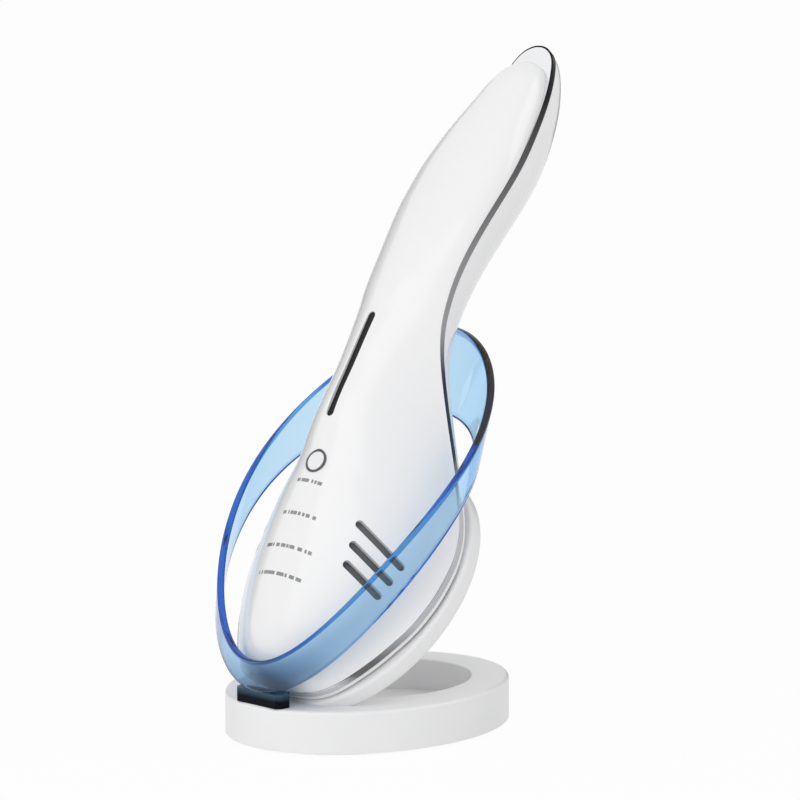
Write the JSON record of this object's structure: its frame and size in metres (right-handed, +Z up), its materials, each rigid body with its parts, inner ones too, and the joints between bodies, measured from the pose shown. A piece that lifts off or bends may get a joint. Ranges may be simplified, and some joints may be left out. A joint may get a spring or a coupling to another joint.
{
  "type": "face massager",
  "caption": "Handheld face massager with a broad domed head and a slim curved grip, resting on a leaning oval dock with a clear blue holder ring.",
  "frame": {"origin": "middle of the dock's flat underside", "axes": "+Z up; the handset's front with its button faces -Y, its tip leans back to +Y; +X is its right side seen from the back"},
  "size_m": [0.0732, 0.1144, 0.1784],
  "materials": {
    "white_plastic": "glossy white",
    "white_cap": "satin white",
    "chrome": "polished",
    "clear_blue": "clear blue, polished",
    "dark_window": "glossy black",
    "clear_plastic": "clear",
    "grey_rubber": "matte",
    "inner_plastic": "matte grey",
    "screw_steel": "bright zinc",
    "board_green": "solder mask",
    "inlet_steel": "bright",
    "contact_gold": "gold plated",
    "lamp": "frosted",
    "switch_black": "matte",
    "motor_can": "bright",
    "cell_wrap": "shrink wrap",
    "treatment_steel": "polished",
    "sink_aluminium": "as extruded",
    "screen_black": "fine mesh",
    "weight_metal": "dense sintered metal"
  },
  "bodies": {
    "stand": {"dock_base": "white_plastic", "bottom_cover": "inner_plastic", "non_slip_pad": "grey_rubber", "cover_screws": "screw_steel", "back_plate": "white_plastic", "holder_ring": "clear_blue", "ring_screw": "screw_steel", "charge_board": "board_green", "charge_inlet": "inlet_steel", "pin_barrels": "contact_gold"},
    "handset": {"front_shell": "white_plastic", "rear_shell": "white_plastic", "chrome_trim": "chrome", "button_bezel": "chrome", "indicator_window": "dark_window", "light_guide": "clear_plastic", "indicator_lamps": "lamp", "main_board": "board_green", "button_switch": "switch_black", "inner_frame": "inner_plastic", "vibration_motor": "motor_can", "battery": "cell_wrap", "battery_cradle": "inner_plastic", "treatment_plate": "treatment_steel", "light_lens": "clear_plastic", "light_board": "board_green", "heat_sink": "sink_aluminium", "vent_screens": "screen_black", "shell_screws": "screw_steel", "charge_contacts": "contact_gold"},
    "charge_pin_left": {"charge_pin_left": "contact_gold"},
    "charge_pin_right": {"charge_pin_right": "contact_gold"},
    "mode_button": {"mode_button": "white_cap"},
    "eccentric": {"motor_shaft": "screw_steel", "eccentric_weight": "weight_metal"}
  },
  "joints": [
    {"name": "handset_lift", "type": "slide", "parent": "stand", "child": "handset", "axis": [0, 0, 1], "range_m": [0, 0.12]},
    {"name": "mode_button_press", "type": "slide", "parent": "handset", "child": "mode_button", "axis": [0, 0.8402, -0.5423], "range_m": [0, 0.0004], "stiffness_N_per_m": 800},
    {"name": "eccentric_spin", "type": "hinge", "parent": "handset", "child": "eccentric", "pos_m": [0, 0.00613, 0.08511], "axis": [0, 0.6871, 0.7266], "continuous": true},
    {"name": "charge_pin_left_press", "type": "slide", "parent": "stand", "child": "charge_pin_left", "axis": [0, 0.7266, -0.6871], "range_m": [0, 0.0005], "stiffness_N_per_m": 150},
    {"name": "charge_pin_right_press", "type": "slide", "parent": "stand", "child": "charge_pin_right", "axis": [0, 0.7266, -0.6871], "range_m": [0, 0.0005], "stiffness_N_per_m": 150}
  ]
}
